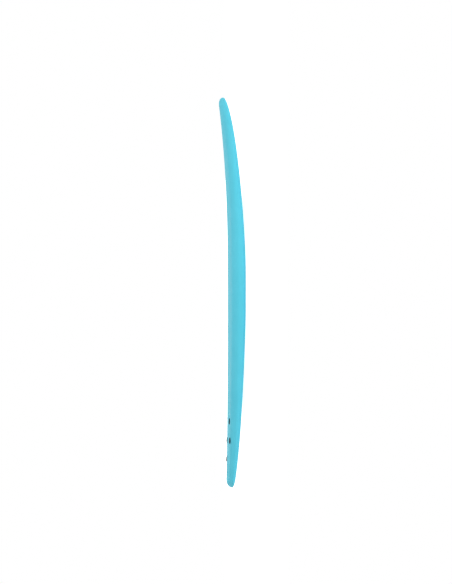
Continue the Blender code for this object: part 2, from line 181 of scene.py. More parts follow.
# Stringers: two strips of three-ply, the full depth of the core, glued into the saw cuts on edge.
# The face grain runs the length of the board and the middle ply runs across it.

PLY_PALE = (0.66, 0.49, 0.30, 1.0)
PLY_DARK = (0.45, 0.30, 0.16, 1.0)
PLY_PITCH = 0.0033
GRAIN_WIDTH = 0.003


def three_ply():
    """Long streaks of grain, over bands for the plies across the thickness."""
    finish, tree, shader, place = new_finish("three_ply", {"Roughness": 0.7})
    grain = noise(tree, stretched(tree, place, (1.0, 0.03, 1.0)), GRAIN_WIDTH, detail=6.0)
    waves = {"Vector": place, "Scale": 2 * pi / (20 * PLY_PITCH)}
    plies = ranged(tree, add_node(tree, "ShaderNodeTexWave", waves).outputs["Fac"], 0.0, 1.0, -0.12, 0.12)
    tone = add_node(tree, "ShaderNodeMath", {0: grain, 1: plies}).outputs[0]
    share = ranged(tree, tone, 0.3, 0.75, 0.0, 1.0)
    feed(tree, shader, "Base Color", blended(tree, share, PLY_PALE, PLY_DARK))
    relief(tree, shader, [(grain, 0.0002)])
    return finish


stringer_wood = three_ply()
for side in ("port", "starboard"):
    dress(f"stringer_{side}", stringer_wood)


# Backing: a thin sheet of white closed-cell foam, laminated to the slick sheet before both go on.
# It is knife-cut to the outline of the bottom and gives the thin sheet a soft bed on the core.

BACKING_WHITE = (0.80, 0.82, 0.82, 1.0)
BACKING_SHADE = (0.70, 0.73, 0.74, 1.0)


def closed_cell_foam():
    """Fine cells and a faint cloudiness."""
    finish, tree, shader, place = new_finish("closed_cell_foam", {"Roughness": 0.8})
    cloud = noise(tree, place, 0.02)
    feed(tree, shader, "Base Color", blended(tree, cloud, BACKING_WHITE, BACKING_SHADE))
    relief(tree, shader, [(cells(tree, place, 0.0008), 0.0002)])
    return finish


dress("bottom_foam", closed_cell_foam())


# Bottom sheet: slick polyethylene, 1.2 mm thick and satin, hot-bonded to its backing.
# It follows the rocker, turns up round the tuck of the rails and butts against the rail bands there.

CLEARANCE = 0.0003
BOARD_LENGTH = cad_high.y - cad_low.y
BOARD_WIDTH = cad_high.x - cad_low.x
HALF_LENGTH = BOARD_LENGTH / 2
WIDE_POINT_Y = 0.030
NOSE_HANDLE = 0.150
FORE_HANDLE = 0.420
AFT_HANDLE = 0.330
TAIL_CORNER = np.array([0.115, 0.0465 - HALF_LENGTH])
TAIL_CORNER_LEAN = radians(19.4)
CORNER_REACH = 0.286
CORNER_HANDLE = 0.030
TAIL_END_HANDLE = 0.060
FLAT_LENGTH = 0.160
NOSE_ROCKER, NOSE_ROCKER_POWER = 0.072, 1.68
NOSE_FLIP, NOSE_FLIP_POWER = 0.0173, 9.0
TAIL_ROCKER, TAIL_ROCKER_POWER = 0.034, 1.36
TAIL_FLIP, TAIL_FLIP_POWER = 0.0142, 5.0
MID_THICKNESS = 0.0753
DECK_NOSE_RISE, DECK_NOSE_POWER = 0.0475, 2.63
DECK_TAIL_RISE, DECK_TAIL_POWER = 0.0085, 2.5
DECK_CROWN = 0.014
APEX_SHARE = (0.30, 0.43, 0.22)
TOP_ROLL = (0.040, 0.055, 0.035)
UNDER_ROLL = (0.015, 0.028, 0.030)
RAIL_CHANGE_POWER = 3.0
SPINE_SHARE = 0.86
BOTTOM_SEAM_ANGLE = radians(70)
SLICK_THICKNESS = 0.0012
SLICK_EDGE = 0.0004
SLICK_RIPPLE = 0.00008
FORE_COLUMNS, AFT_COLUMNS, END_COLUMNS = 170, 230, 50
SLICK_TURQUOISE = (0.098, 0.595, 0.735, 1.0)
SLICK_SHADE = (0.082, 0.555, 0.700, 1.0)


def bezier(start, leave, arrive, end, t):
    """Cubic curve: the four points weighted by (1-t)^3, 3t(1-t)^2, 3t^2(1-t) and t^3."""
    t = t[:, None]
    return start * (1 - t) ** 3 + 3 * leave * t * (1 - t) ** 2 + 3 * arrive * t**2 * (1 - t) + end * t**3


def plan_outline():
    """Starboard outline in three tangent curves: nose tip, wide point, tail corner, middle of the tail."""
    nose, wide = np.array([0.0, HALF_LENGTH]), np.array([BOARD_WIDTH / 2, WIDE_POINT_Y])
    end, outboard, ahead = np.array([0.0, -HALF_LENGTH]), np.array([1.0, 0.0]), np.array([0.0, 1.0])
    along = np.array([-np.sin(TAIL_CORNER_LEAN), -np.cos(TAIL_CORNER_LEAN)])
    fore, aft, tail = (np.linspace(0.0, 1.0, n + 1) for n in (FORE_COLUMNS, AFT_COLUMNS, END_COLUMNS))
    return np.concatenate([
        bezier(nose, nose + NOSE_HANDLE * outboard, wide + FORE_HANDLE * ahead, wide, fore),
        bezier(wide, wide - AFT_HANDLE * ahead, TAIL_CORNER - CORNER_REACH * along, TAIL_CORNER, aft)[1:],
        bezier(
            TAIL_CORNER, TAIL_CORNER + CORNER_HANDLE * along, end + TAIL_END_HANDLE * outboard, end, tail
        )[1:],
    ])


rim = plan_outline()
rim_y = rim[:, 1]
spine_y = SPINE_SHARE * rim_y
reach = np.hypot(rim[:, 0], rim_y - spine_y)
ray_x, ray_y = rim[:, 0] / reach, (rim_y - spine_y) / reach


def bottom_height(y):
    """Rocker: zero over the flat, then a power of the run to each end, and a steeper one at each tip."""
    run = np.clip((np.abs(y) - FLAT_LENGTH / 2) / (HALF_LENGTH - FLAT_LENGTH / 2), 0.0, None)
    nose = NOSE_ROCKER * run**NOSE_ROCKER_POWER + NOSE_FLIP * run**NOSE_FLIP_POWER
    tail = TAIL_ROCKER * run**TAIL_ROCKER_POWER + TAIL_FLIP * run**TAIL_FLIP_POWER
    return np.where(y > 0, nose, tail)


def deck_height(x, y):
    """Deck: a power of the run to each end along the middle, less the crown by the share across, squared."""
    run = np.abs(y) / HALF_LENGTH
    rise = np.where(y > 0, DECK_NOSE_RISE * run**DECK_NOSE_POWER, DECK_TAIL_RISE * run**DECK_TAIL_POWER)
    half_width = np.interp(-y, -rim_y, rim[:, 0])
    return MID_THICKNESS + rise - DECK_CROWN * (x / np.maximum(half_width, CLEARANCE)) ** 2


def along_board(nose_mid_tail):
    """A rail size at each column: its middle value, eased to the end's by the cube of the run."""
    nose, middle, tail = nose_mid_tail
    change = (np.abs(rim_y) / HALF_LENGTH) ** RAIL_CHANGE_POWER
    return middle + (np.where(rim_y > 0, nose, tail) - middle) * change


top_radius, under_radius = along_board(TOP_ROLL), along_board(UNDER_ROLL)
rim_bottom = bottom_height(rim_y)
apex = rim_bottom + along_board(APEX_SHARE) * (deck_height(0.0 * rim_y, rim_y) - rim_bottom)


def plan_grid(distance):
    """Plan points at distances out from the spine along each column's ray."""
    return distance * ray_x, spine_y + distance * ray_y


def ripple(x, y):
    """Slight unevenness of a sheet laid by hand, between -1 and 1: two crossing sine waves."""
    return np.sin(21.0 * x + 9.0 * y + 0.7) * np.sin(13.0 * y - 26.0 * x)


def bottom_grid(depth, share):
    """Rows over the bottom from the spine (0) to the start of the tuck (1), a depth in from the outside."""
    x, y = plan_grid(share * (reach - under_radius))
    return np.stack([x, y, bottom_height(y) + depth + SLICK_RIPPLE * (1 + ripple(x, y))], axis=-1)


def tuck_grid(depth, angle):
    """Rows round the lower rail: an elliptic quarter from the rim (0) down to the bottom (90 degrees)."""
    x, y = plan_grid(reach - under_radius + (under_radius - depth) * np.cos(angle))
    return np.stack([x, y, apex - (apex - bottom_height(y) - depth) * np.sin(angle)], axis=-1)


def rows(start, end, count):
    """Evenly spaced row values, one to a row of a grid."""
    return np.linspace(start, end, count)[:, None]


def round_over(radius, count):
    """A sheet's rounded edge: distance in from the edge, and depth, round a quarter circle."""
    turn = rows(pi / 2, 0.0, count)
    return radius * (1 - np.cos(turn)), radius * (1 - np.sin(turn))


def wall(first, second):
    """The strip that joins an edge row of one grid to that of another."""
    return np.stack([first, second])


def mirrored(grid):
    """A grid's twin on the port side."""
    return grid * np.array([-1.0, 1.0, 1.0])


def joined_mesh(name, grids, sharp=radians(40)):
    """One closed mesh from point grids that meet at their edges: each grid's quads, welded, facing out."""
    points, faces, start = [], [], 0
    for grid in grids:
        number = start + np.arange(grid.shape[0] * grid.shape[1]).reshape(grid.shape[:2])
        corners = [number[:-1, :-1], number[:-1, 1:], number[1:, 1:], number[1:, :-1]]
        points.append(grid.reshape(-1, 3))
        faces.append(np.stack(corners, axis=-1).reshape(-1, 4))
        start += number.size
    mesh = bpy.data.meshes.new(name)
    mesh.from_pydata(np.concatenate(points).tolist(), [], np.concatenate(faces).tolist())
    work = bmesh.new()
    work.from_mesh(mesh)
    bmesh.ops.remove_doubles(work, verts=work.verts[:], dist=2e-6)
    bmesh.ops.recalc_face_normals(work, faces=work.faces[:])
    work.to_mesh(mesh)
    work.free()
    mesh.shade_smooth()
    mesh.set_sharp_from_angle(angle=sharp)
    return mesh


def add_piece(name, mesh, finish, slot, body, *stands_for):
    """A finished piece: its material, the record's slot (not used), the body it rides on, the CAD nodes it
    replaces.
    """
    mesh.materials.clear()
    mesh.materials.append(finish)
    piece = bpy.data.objects.new(name, mesh)
    bpy.context.scene.collection.objects.link(piece)
    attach(piece, body)
    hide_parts(*stands_for)
    return piece


def turned(profile, sides, lift=None):
    """A profile of (radius, height) rows spun round +Z into a closed grid; lift adds to each radius."""
    radius, height = np.array(profile).T
    angle = np.linspace(0.0, 2 * pi, sides + 1) + pi / sides
    radius = radius[:, None] + (0.0 if lift is None else lift(angle, height[:, None]))
    return np.stack([radius * np.cos(angle), radius * np.sin(angle), height[:, None] + 0.0 * angle], axis=-1)


def on_axis(grid, origin, axis):
    """A grid made round +Z, stood on a point with +Z along an axis and +X kept across the board."""
    across = np.array([1.0, 0.0, 0.0])
    return np.array(origin) + grid @ np.stack([across, np.cross(axis, across), axis])


def cut_out(mesh, cutter):
    """The mesh less the cutter's volume."""
    blank, tool = (bpy.data.objects.new(m.name, m) for m in (mesh, cutter))
    for thing in (blank, tool):
        bpy.context.scene.collection.objects.link(thing)
    boolean = blank.modifiers.new("cut", "BOOLEAN")
    boolean.operation, boolean.solver, boolean.object = "DIFFERENCE", "EXACT", tool
    made = bpy.data.meshes.new_from_object(blank.evaluated_get(bpy.context.evaluated_depsgraph_get()))
    for thing in (blank, tool):
        bpy.data.objects.remove(thing)
    made.name = mesh.name
    made.shade_smooth()
    made.set_sharp_from_angle(angle=radians(40))
    return made


# Where the bolts stand: each screw's seat and axis are its joint's, and each nut's foot is under its mount.
PLACES = [f"{side}_{end}" for side in ("port", "starboard", "centre") for end in ("front", "rear")]
FLANGE_RADIUS = 0.013
FLANGE_THICKNESS = 0.0022
FLANGE_RECESS = 0.0002
MOUNT_BESIDE_SLOT = 0.008
LEASH_PLUG_SETBACK = 0.080
joints = {joint["name"]: joint for joint in frame["joints"]}
mounts = {mount["name"]: mount for mount in record["mounts"]}
bolt_axis = {place: np.array(joints[f"fin_screw_turn_{place}"]["axis"]) for place in PLACES}
bolt_seat = {place: np.array(joints[f"fin_screw_turn_{place}"]["pos_m"]) for place in PLACES}
bolt_foot = {}
for place, axis in bolt_axis.items():
    ahead = np.cross(axis, (1.0, 0.0, 0.0))
    face = np.array(mounts[f"fin_{place}"]["pos_m"])
    bolt_foot[place] = face - FLANGE_RECESS * axis - MOUNT_BESIDE_SLOT * ahead
leash_foot_y = LEASH_PLUG_SETBACK - HALF_LENGTH
leash_foot = np.array([0.0, leash_foot_y, bottom_height(np.array(leash_foot_y))])
leash_up = np.array(mounts["leash_pin"]["pos_m"]) - leash_foot
leash_axis = leash_up / np.linalg.norm(leash_up)


def bored(mesh, feet, profile):
    """A sheet with one stepped hole per (foot, axis), the profile being of the tool that makes it."""
    holes = [on_axis(turned(profile, 48), foot, axis) for foot, axis in feet]
    return cut_out(mesh, joined_mesh("drill", holes))


def bottom_sheet():
    """Outside with a rounded edge, inside, and the wall at the seam, on both sides of the middle."""
    edge_in, edge_depth = round_over(SLICK_EDGE, 4)
    seam = BOTTOM_SEAM_ANGLE + CLEARANCE / 2 / under_radius
    eased = seam + SLICK_EDGE / under_radius
    outside = np.concatenate([
        bottom_grid(0.0, rows(0.0, 1.0, 40)),
        tuck_grid(0.0, pi / 2 + (eased - pi / 2) * rows(0.15, 1.0, 6)),
        tuck_grid(edge_depth, seam + edge_in / under_radius)[1:],
    ])
    inside = np.concatenate([
        bottom_grid(SLICK_THICKNESS, rows(0.0, 1.0, 8)),
        tuck_grid(SLICK_THICKNESS, pi / 2 + (seam - pi / 2) * rows(0.33, 1.0, 3)),
    ])
    half = [outside, inside, wall(outside[-1], inside[-1])]
    sheet = joined_mesh("bottom_sheet", half + [mirrored(grid) for grid in half])
    feet = [(bolt_foot[place], bolt_axis[place]) for place in PLACES] + [(leash_foot, leash_axis)]
    hole = FLANGE_RADIUS + CLEARANCE
    return bored(sheet, feet, [(0.0, -0.01), (hole, -0.01), (hole, 0.01), (0.0, 0.01)])


def slick_polyethylene():
    """Even colour with a faint cloud, satin patches, and hair scratches that run with the board."""
    finish, tree, shader, place = new_finish("slick_polyethylene", {"Specular IOR Level": 0.45})
    cloud = noise(tree, place, 0.15)
    feed(tree, shader, "Base Color", blended(tree, cloud, SLICK_TURQUOISE, SLICK_SHADE))
    rubbed = noise(tree, stretched(tree, place, (1.0, 0.15, 1.0)), 0.03, detail=5.0)
    feed(tree, shader, "Roughness", ranged(tree, rubbed, 0.3, 0.7, 0.24, 0.38))
    hair = noise(tree, stretched(tree, place, (1.0, 0.012, 1.0)), 0.0012, detail=4.0)
    scratches = ranged(tree, hair, 0.66, 0.8, 1.0, 0.0)
    relief(tree, shader, [(noise(tree, place, 0.012), 0.00006), (scratches, 0.00003)])
    return finish


add_piece("bottom_sheet", bottom_sheet(), slick_polyethylene(), "slick_skin", "board", "bottom_skin")


# Deck sheet: closed-cell foam, 5 mm thick, embossed with a fine pebble for grip and rounded at its edge.
# It is hot-glued over the core as one piece, pulled down by the fin screws and sunk round the leash plug.

SKIN_THICKNESS = 0.005
SKIN_EDGE = 0.0009
DECK_SEAM_ANGLE = radians(55)
PRESSED_DEPTH = 0.0009
PRESSED_WIDTH = 0.010
DECK_RIPPLE = 0.00015
PEBBLE_SIZE = 0.0026
TURQUOISE = (0.106, 0.580, 0.720, 1.0)
# Darker turquoise: the foam's own cloudy tone, and painted shade in the hollows of the emboss.
TURQUOISE_CLOUD_AND_PAINTED_SHADE = (0.086, 0.525, 0.664, 1.0)
WASHER_RADIUS = 0.0145
WASHER_THICKNESS = 0.0012
SLEEVE_RADIUS = 0.009
SEAT_BELOW_HEAD = WASHER_THICKNESS + 2 * CLEARANCE
LEASH_FLANGE_RADIUS = 0.017
LEASH_FLANGE_THICKNESS = 0.002
LEASH_CUP_RADIUS = 0.0135
LEASH_PIN_DEPTH = 0.0045
leash_mouth = np.array(mounts["leash_pin"]["pos_m"]) + LEASH_PIN_DEPTH * leash_axis
leash_seat = leash_mouth - (LEASH_FLANGE_THICKNESS + CLEARANCE) * leash_axis


def pressed(x, y):
    """How far the deck is drawn down: a bell of each seat's distance past its rim."""
    seats = [(bolt_seat[place], WASHER_RADIUS) for place in PLACES] + [(leash_mouth, LEASH_FLANGE_RADIUS)]
    past = [np.maximum(np.hypot(x - seat[0], y - seat[1]) - radius, 0.0) for seat, radius in seats]
    return PRESSED_DEPTH * sum(np.exp(-((distance / PRESSED_WIDTH) ** 2)) for distance in past)


def laid_deck(x, y):
    """The deck's height with its unevenness and its pressed seats."""
    return deck_height(x, y) - pressed(x, y) + DECK_RIPPLE * ripple(x, y)


def deck_grid(depth, share):
    """Rows from the spine (0) to the start of the rail roll (1), a depth in under the deck."""
    x, y = plan_grid(share * (reach - top_radius))
    return np.stack([x, y, laid_deck(x, y) - depth], axis=-1)


def roll_grid(depth, angle):
    """Rows round the upper rail: an elliptic quarter from the rim (0) up to the deck (90 degrees)."""
    x, y = plan_grid(reach - top_radius + (top_radius - depth) * np.cos(angle))
    return np.stack([x, y, apex + (laid_deck(x, y) - depth - apex) * np.sin(angle)], axis=-1)


def deck_sheet():
    """Outside with a rounded edge, inside, and the wall at the seam, bored for the bolts and the plug."""
    edge_in, edge_depth = round_over(SKIN_EDGE, 5)
    seam = DECK_SEAM_ANGLE + CLEARANCE / 2 / top_radius
    eased = seam + SKIN_EDGE / top_radius
    outside = np.concatenate([
        deck_grid(0.0, rows(0.0, 1.0, 44)),
        roll_grid(0.0, pi / 2 + (eased - pi / 2) * rows(0.1, 1.0, 10)),
        roll_grid(edge_depth, seam + edge_in / top_radius)[1:],
    ])
    inside = np.concatenate([
        deck_grid(SKIN_THICKNESS, rows(0.0, 1.0, 8)),
        roll_grid(SKIN_THICKNESS, pi / 2 + (seam - pi / 2) * rows(0.25, 1.0, 4)),
    ])
    half = [outside, inside, wall(outside[-1], inside[-1])]
    sheet = joined_mesh("deck_sheet", half + [mirrored(grid) for grid in half])
    seat, sleeve = WASHER_RADIUS + CLEARANCE, SLEEVE_RADIUS + CLEARANCE
    step = -SEAT_BELOW_HEAD
    tool = [(0.0, -0.02), (sleeve, -0.02), (sleeve, step), (seat, step), (seat, 0.02), (0.0, 0.02)]
    sheet = bored(sheet, [(bolt_seat[place], bolt_axis[place]) for place in PLACES], tool)
    flange, cup = LEASH_FLANGE_RADIUS + CLEARANCE, LEASH_CUP_RADIUS + CLEARANCE
    tool = [(0.0, -0.02), (cup, -0.02), (cup, 0.0), (flange, 0.0), (flange, 0.02), (0.0, 0.02)]
    return bored(sheet, [(leash_seat, leash_axis)], tool)


def pebbled_foam(name, pebble, depth):
    """Matte foam: cloudy turquoise, a pebble emboss with painted shade darkening its hollows, and a fine
    skin.
    """
    fixed = {"Roughness": 0.66, "Specular IOR Level": 0.08, "Sheen Weight": 0.06, "Sheen Roughness": 0.5}
    finish, tree, shader, place = new_finish(name, fixed)
    cloud = noise(tree, place, 0.09)
    emboss = cells(tree, place, pebble)
    # Painted shade: the emboss's hollows are mixed toward the darker turquoise; the cloud's drift is the
    # foam's own tone.
    painted_hollow_shade = ranged(tree, emboss, 0.35, 0.75, 0.0, 0.45)
    drift = ranged(tree, cloud, 0.3, 0.7, 0.0, 0.4)
    share = add_node(tree, "ShaderNodeMath", {0: painted_hollow_shade, 1: drift}).outputs[0]
    feed(tree, shader, "Base Color", blended(tree, share, TURQUOISE, TURQUOISE_CLOUD_AND_PAINTED_SHADE))
    pebbles = ranged(tree, emboss, 0.15, 0.75, 1.0, 0.0)
    relief(tree, shader, [(pebbles, depth), (noise(tree, place, 0.0006), depth / 4)])
    return finish


deck_foam = pebbled_foam("pebbled_deck_foam", PEBBLE_SIZE, 0.00035)
deck = add_piece("deck_sheet", deck_sheet(), deck_foam, "foam_skin", "board", "deck_skin")


# Rail bands: the same foam in a strip down each side, heat-formed round the rail with a smoother face.
# The two butt together at the nose tip and at the middle of the tail.

RAIL_RIPPLE = 0.00012
RAIL_PEBBLE_SIZE = 0.0016


def rail_band(side):
    """Outside and inside round the rail with rounded seam edges, the two seam walls and the two butt ends."""
    edge_in, edge_depth = round_over(SKIN_EDGE, 5)
    upper = DECK_SEAM_ANGLE - CLEARANCE / 2 / top_radius
    lower = BOTTOM_SEAM_ANGLE - CLEARANCE / 2 / under_radius
    from_top, from_under = upper - SKIN_EDGE / top_radius, lower - SKIN_EDGE / under_radius
    uneven = RAIL_RIPPLE * ripple(rim[:, 0], rim_y)
    outside = np.concatenate([
        roll_grid(edge_depth, upper - edge_in / top_radius)[::-1],
        roll_grid(uneven * rows(0.0, 1.0, 14), from_top * rows(1.0, 0.0, 14))[1:],
        tuck_grid(uneven * rows(1.0, 0.0, 12), from_under * rows(0.0, 1.0, 12))[1:],
        tuck_grid(edge_depth, lower - edge_in / under_radius)[1:],
    ])
    inside = np.concatenate([
        roll_grid(SKIN_THICKNESS, upper * rows(1.0, 0.0, 18)),
        tuck_grid(SKIN_THICKNESS, lower * rows(0.0, 1.0, 16))[1:],
    ])
    for grid in (outside, inside):
        grid[..., 0] = side * np.maximum(grid[..., 0], CLEARANCE / 2)
    seams = [wall(outside[row], inside[row]) for row in (0, -1)]
    butts = [wall(outside[:, column], inside[:, column]) for column in (0, -1)]
    return joined_mesh("rail_band", [outside, inside, *seams, *butts])


rail_foam = pebbled_foam("formed_rail_foam", RAIL_PEBBLE_SIZE, 0.00016)
for side_name, side in (("port", -1), ("starboard", 1)):
    band = add_piece(
        f"rail_band_{side_name}", rail_band(side), rail_foam, "foam_skin", "board", f"rail_skin_{side_name}"
    )


# Fin sleeves: nylon tubes, moulded and bonded upright through the core from bottom sheet to deck sheet.
# Each carries the squeeze of one fin bolt, which would crush the foam beads.

NYLON_BLACK = (0.012, 0.012, 0.013, 1.0)
NYLON_BLOOM = (0.024, 0.024, 0.025, 1.0)


def moulded_nylon():
    """Near-black, with a dull bloom in patches and the fine grain of the mould."""
    finish, tree, shader, place = new_finish("moulded_nylon", {"Specular IOR Level": 0.06})
    bloom = ranged(tree, noise(tree, place, 0.006), 0.35, 0.7, 0.0, 1.0)
    feed(tree, shader, "Base Color", blended(tree, bloom, NYLON_BLACK, NYLON_BLOOM))
    feed(tree, shader, "Roughness", ranged(tree, bloom, 0.0, 1.0, 0.52, 0.66))
    relief(tree, shader, [(noise(tree, place, 0.0005), 0.00006)])
    return finish


nylon = moulded_nylon()
for bolt in PLACES:
    dress(f"fin_sleeve_{bolt}", nylon)


# Fin nuts: flanged barrel nuts of the same nylon, pushed up the sleeves until flush with the bottom sheet.
# A coin slot across each flange holds the nut while its screw is driven down from the deck.

BARREL_RADIUS = 0.007
BARREL_LENGTH = 0.030
BARREL_FLOOR = 0.004
SHANK_RADIUS = 0.004
COIN_SLOT = np.array([0.018, 0.0024, 0.0016])
MOULDED_EDGE = 0.0006
ROUND_SIDES = 64


def softened(corners, radius, count=4):
    """A profile with its inner corners rounded: at each, a parabola that leaves both sides a radius off."""
    corners = np.array(corners)
    t = rows(0.0, 1.0, count + 1)
    points = [corners[:1]]
    for before, corner, after in zip(corners, corners[1:], corners[2:]):
        back, onward = before - corner, after - corner
        start = corner + back * min(0.45, radius / np.hypot(*back))
        end = corner + onward * min(0.45, radius / np.hypot(*onward))
        points.append(start * (1 - t) ** 2 + 2 * corner * t * (1 - t) + end * t**2)
    return np.concatenate([*points, corners[-1:]])


def flange_face(recess):
    """A let-in flange in profile: the middle of its face, its rim and the start of its inner face."""
    return [(0.0, recess), (FLANGE_RADIUS, recess), (FLANGE_RADIUS, recess + FLANGE_THICKNESS)]


def slotted(mesh, origin, axis, face):
    """A head with a coin slot across the board, cut from the face at a height up its axis."""
    half = sqrt(0.5)
    block = turned([(0.0, -1.0), (half, -1.0), (half, 1.0), (0.0, 1.0)], 4) * COIN_SLOT
    return cut_out(mesh, joined_mesh("slot", [on_axis(block + (0.0, 0.0, face), origin, axis)]))


def fin_nut(foot, axis):
    """Slotted flange, barrel and blind bore."""
    bore = SHANK_RADIUS + CLEARANCE
    barrel = [
        *flange_face(FLANGE_RECESS),
        (BARREL_RADIUS, FLANGE_RECESS + FLANGE_THICKNESS),
        (BARREL_RADIUS, BARREL_LENGTH),
        (bore, BARREL_LENGTH),
        (bore, BARREL_FLOOR),
        (0.0, BARREL_FLOOR),
    ]
    blank = joined_mesh("fin_nut", [on_axis(turned(softened(barrel, MOULDED_EDGE), ROUND_SIDES), foot, axis)])
    return slotted(blank, foot, axis, FLANGE_RECESS)


for bolt in PLACES:
    nut = fin_nut(bolt_foot[bolt], bolt_axis[bolt])
    add_piece(f"barrel_nut_{bolt}", nut, nylon, "nylon", "board", f"fin_nut_{bolt}")


# Fin washers: rubber rings stamped from sheet, in shallow seats that the screws press into the deck sheet.
# Each hangs on its screw's shank and comes up with it.

WASHER_EDGE = 0.0004
RUBBER_BLACK = (0.017, 0.017, 0.017, 1.0)
RUBBER_DUST = (0.036, 0.036, 0.036, 1.0)


def fin_washer(seat, axis):
    """A flat ring with rounded rims, just under the screw head's seat."""
    hole, top = SHANK_RADIUS + CLEARANCE, -CLEARANCE
    bottom, middle = top - WASHER_THICKNESS, top - WASHER_THICKNESS / 2
    rim = [(WASHER_RADIUS, top), (WASHER_RADIUS, bottom)]
    ring = [(hole, middle), (hole, top), *rim, (hole, bottom), (hole, middle)]
    return joined_mesh("fin_washer", [on_axis(turned(softened(ring, WASHER_EDGE), ROUND_SIDES), seat, axis)])


def sheet_rubber():
    """Dull black with a dusting of lighter grains."""
    finish, tree, shader, place = new_finish("sheet_rubber", {"Roughness": 0.78, "Specular IOR Level": 0.3})
    dust = ranged(tree, noise(tree, place, 0.0012, detail=6.0), 0.5, 0.75, 0.0, 1.0)
    feed(tree, shader, "Base Color", blended(tree, dust, RUBBER_BLACK, RUBBER_DUST))
    relief(tree, shader, [(noise(tree, place, 0.0004), 0.00004)])
    return finish


rubber = sheet_rubber()
for bolt in PLACES:
    ring = fin_washer(bolt_seat[bolt], bolt_axis[bolt])
    add_piece(f"rubber_washer_{bolt}", ring, rubber, "rubber", f"fin_washer_{bolt}", f"fin_washer_{bolt}")


# Fin screws: wide nylon heads, low-domed and slotted for a coin, on a coarse shank that winds into the nut.
# They are moulded in one piece, the thread included, and stand about 3 mm proud of the deck.

HEAD_RADIUS = 0.014
HEAD_HEIGHT = 0.0036
HEAD_EDGE = 0.0016
SHANK_LENGTH = 0.036
SHANK_NECK = 0.001
SHANK_TAPER = 0.0014
THREAD_PITCH = 0.00125
THREAD_DEPTH = 0.0006
ROWS_PER_TURN = 8
SCREW_SIDES = 48


def thread(angle, height):
    """Cut into the shank: a triangular wave once a pitch that climbs with the angle, run out at both ends."""
    wave = np.abs(2 * np.mod(height / THREAD_PITCH - angle / (2 * pi), 1.0) - 1)
    under_head = np.clip((-height - SHANK_NECK) / THREAD_PITCH, 0.0, 1.0)
    at_tip = np.clip((height + SHANK_LENGTH) / THREAD_PITCH, 0.0, 1.0)
    return -THREAD_DEPTH * wave * under_head * at_tip


def fin_screw(seat, axis):
    """Domed head, its crown falling with the square of the radius, then the threaded and tapered shank."""
    share = np.linspace(0.0, 0.97, 12)
    crown = np.stack([HEAD_RADIUS * share, HEAD_EDGE + (HEAD_HEIGHT - HEAD_EDGE) * (1 - share**2)], axis=1)
    corners = [crown[-1], (HEAD_RADIUS, HEAD_EDGE), (HEAD_RADIUS, 0.0), (SHANK_RADIUS, 0.0)]
    rim = softened(corners, MOULDED_EDGE)
    height = np.linspace(0.0, -SHANK_LENGTH, round(ROWS_PER_TURN * SHANK_LENGTH / THREAD_PITCH) + 1)
    taper = np.clip(SHANK_TAPER - (height + SHANK_LENGTH), 0.0, None)
    shank = np.stack([SHANK_RADIUS - taper, height], axis=1)
    profile = np.concatenate([crown, rim[1:], shank[1:], [(0.0, -SHANK_LENGTH)]])
    blank = joined_mesh("fin_screw", [on_axis(turned(profile, SCREW_SIDES, thread), seat, axis)])
    return slotted(blank, seat, axis, HEAD_HEIGHT)


for bolt in PLACES:
    screw = fin_screw(bolt_seat[bolt], bolt_axis[bolt])
    add_piece(f"coin_screw_{bolt}", screw, nylon, "nylon", f"fin_screw_{bolt}", f"fin_screw_{bolt}")


# Leash cup: a moulded nylon cup let into the deck by the tail, flange flush and boss down in the core.
# The leash's cord loop goes down one side of the cup, under the pin and up the other.

LEASH_CUP_WALL = 0.0025
LEASH_CUP_DEPTH = 0.016
LEASH_CUP_FOOT = 0.0185
LEASH_BOSS_RADIUS = 0.0075
LEASH_BOSS_FOOT = 0.0275
LEASH_THREAD_LENGTH = 0.008
LEASH_PIN_RADIUS = 0.002


def cross_rod(radius, half_length, edge):
    """A rod across the board, centred on the pin's axis."""
    corners = [(0.0, half_length), (radius, half_length), (radius, -half_length), (0.0, -half_length)]
    side = softened(corners, edge)
    return np.array(mounts["leash_pin"]["pos_m"]) + turned(side, ROUND_SIDES)[..., ::-1]


def leash_cup():
    """Cup, flange, boss and blind bore from the mouth down, drilled across for the pin."""
    inside, bore = LEASH_CUP_RADIUS - LEASH_CUP_WALL, SHANK_RADIUS + CLEARANCE
    bore_end = LEASH_THREAD_LENGTH - LEASH_BOSS_FOOT
    cup = [
        (0.0, -LEASH_CUP_DEPTH),
        (inside, -LEASH_CUP_DEPTH),
        (inside, 0.0),
        (LEASH_FLANGE_RADIUS, 0.0),
        (LEASH_FLANGE_RADIUS, -LEASH_FLANGE_THICKNESS),
        (LEASH_CUP_RADIUS, -LEASH_FLANGE_THICKNESS),
        (LEASH_CUP_RADIUS, -LEASH_CUP_FOOT),
        (LEASH_BOSS_RADIUS, -LEASH_CUP_FOOT),
        (LEASH_BOSS_RADIUS, -LEASH_BOSS_FOOT),
        (bore, -LEASH_BOSS_FOOT),
        (bore, bore_end),
        (0.0, bore_end),
    ]
    spun = turned(softened(cup, MOULDED_EDGE), ROUND_SIDES)
    blank = joined_mesh("leash_cup", [on_axis(spun, leash_mouth, leash_axis)])
    hole = cross_rod(LEASH_PIN_RADIUS + CLEARANCE, LEASH_CUP_RADIUS + CLEARANCE, 0.0)
    return cut_out(blank, joined_mesh("pin_drill", [hole]))


add_piece("moulded_leash_cup", leash_cup(), nylon, "nylon", "board", "leash_cup")


# Leash pin: drawn stainless rod, 4 mm thick with rounded ends, pushed across the cup before it is fitted.
# The walls of the cup hold its ends, and a leash pulls on its middle.

PIN_EDGE = 0.0007
STEEL_PALE = (0.64, 0.64, 0.65, 1.0)
STEEL_DARK = (0.50, 0.50, 0.51, 1.0)


def drawn_steel():
    """Bright metal with fine lines along the drawing, across the board."""
    finish, tree, shader, place = new_finish("drawn_steel", {"Metallic": 1.0})
    lines = noise(tree, stretched(tree, place, (0.04, 1.0, 1.0)), 0.0004, detail=4.0)
    feed(tree, shader, "Base Color", blended(tree, lines, STEEL_PALE, STEEL_DARK))
    feed(tree, shader, "Roughness", ranged(tree, lines, 0.3, 0.7, 0.2, 0.34))
    relief(tree, shader, [(lines, 0.00002)])
    return finish


